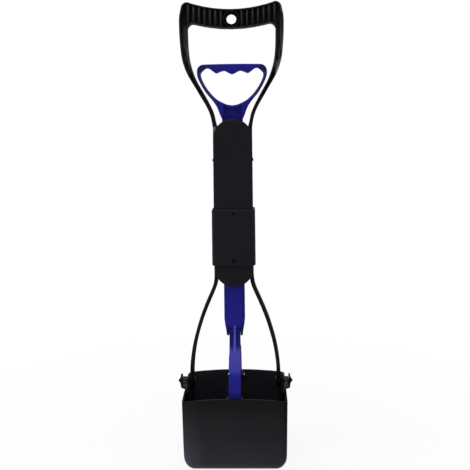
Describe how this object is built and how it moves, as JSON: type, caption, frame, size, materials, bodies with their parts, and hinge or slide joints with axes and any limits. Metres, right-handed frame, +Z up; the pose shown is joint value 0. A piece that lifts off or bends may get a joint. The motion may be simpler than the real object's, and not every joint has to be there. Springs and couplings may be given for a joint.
{
  "type": "folding pet waste scooper",
  "caption": "Long-handled folding pet waste scooper with a pull trigger, a locking sleeve and a spring-closed bucket of jaws.",
  "frame": {"origin": "middle of the closed bucket's flat bottom, where the scooper stands", "axes": "+X to the right as seen from the front, -Y towards the front, +Z up along the handle"},
  "size_m": [0.151, 0.112, 0.6],
  "materials": {
    "black_moulding": "satin black moulding",
    "black_cover": "smooth satin black moulding",
    "black_bucket": "semi-gloss black moulding",
    "blue_moulding": "semi-gloss royal blue moulding",
    "steel": "bright plated steel",
    "dark_steel": "black-coated steel"
  },
  "bodies": {
    "fork": {"lower_frame": "black_moulding", "lower_front_cover": "black_cover", "lower_rear_cover": "black_cover", "lower_screw_left": "steel", "lower_screw_right": "steel", "fold_pin_left": "steel", "fold_pin_right": "steel", "pivot_pin_left": "dark_steel", "pivot_pin_right": "dark_steel", "pivot_clip_left": "dark_steel", "pivot_clip_right": "dark_steel", "torsion_spring_left": "steel", "torsion_spring_right": "steel"},
    "handle_half": {"upper_frame": "black_moulding", "upper_front_cover": "black_cover", "upper_rear_cover": "black_cover", "upper_screw_low_left": "steel", "upper_screw_low_right": "steel", "upper_screw_high_left": "steel", "upper_screw_high_right": "steel"},
    "pull_trigger": {"trigger": "blue_moulding", "rod_hinge_pin": "steel"},
    "sleeve": {"lock_sleeve": "black_cover"},
    "pull_rod": {"lower_rod": "blue_moulding", "front_clevis_pin": "steel", "rear_clevis_pin": "steel"},
    "link_front": {"front_link": "blue_moulding", "front_jaw_pin": "steel"},
    "link_rear": {"rear_link": "blue_moulding", "rear_jaw_pin": "steel"},
    "jaw_front": {"front_jaw": "black_bucket"},
    "jaw_rear": {"rear_jaw": "black_bucket"}
  },
  "joints": [
    {"name": "fold", "type": "hinge", "parent": "fork", "child": "handle_half", "pos_m": [0, 0.012, 0.2622], "axis": [-1, 0, 0], "range_deg": [0, 155]},
    {"name": "trigger_pull", "type": "slide", "parent": "handle_half", "child": "pull_trigger", "axis": [0, 0, 1], "range_m": [0, 0.028]},
    {"name": "sleeve_slide", "type": "slide", "parent": "handle_half", "child": "sleeve", "axis": [0, 0, 1], "range_m": [0, 0.0625]},
    {"name": "rod_slide", "type": "slide", "parent": "fork", "child": "pull_rod", "axis": [0, 0, 1], "range_m": [0, 0.028]},
    {"name": "front_link_swing", "type": "hinge", "parent": "pull_rod", "child": "link_front", "pos_m": [0, -0.0039, 0.1661], "axis": [1, 0, 0], "range_deg": [0, 1.85]},
    {"name": "rear_link_swing", "type": "hinge", "parent": "pull_rod", "child": "link_rear", "pos_m": [0, 0.0039, 0.1661], "axis": [1, 0, 0], "range_deg": [-1.85, 0]},
    {"name": "front_jaw_swing", "type": "hinge", "parent": "fork", "child": "jaw_front", "pos_m": [0, 0, 0.1002], "axis": [1, 0, 0], "range_deg": [-32.2, 0], "stiffness_Nm_per_rad": 0.5, "springref_deg": 34.38},
    {"name": "rear_jaw_swing", "type": "hinge", "parent": "fork", "child": "jaw_rear", "pos_m": [0, 0, 0.1002], "axis": [1, 0, 0], "range_deg": [0, 32.2], "stiffness_Nm_per_rad": 0.5, "springref_deg": -34.38}
  ],
  "couplings": [
    {"joint": "rod_slide", "follows": "trigger_pull", "ratio": 1},
    {"joint": "front_link_swing", "follows": "trigger_pull", "rad_per_m": 1.122},
    {"joint": "rear_link_swing", "follows": "trigger_pull", "rad_per_m": -1.122},
    {"joint": "front_jaw_swing", "follows": "trigger_pull", "rad_per_m": -20.024},
    {"joint": "rear_jaw_swing", "follows": "trigger_pull", "rad_per_m": 20.024},
    {"joint": "sleeve_slide", "follows": "fold", "m_per_rad": 0.023}
  ]
}
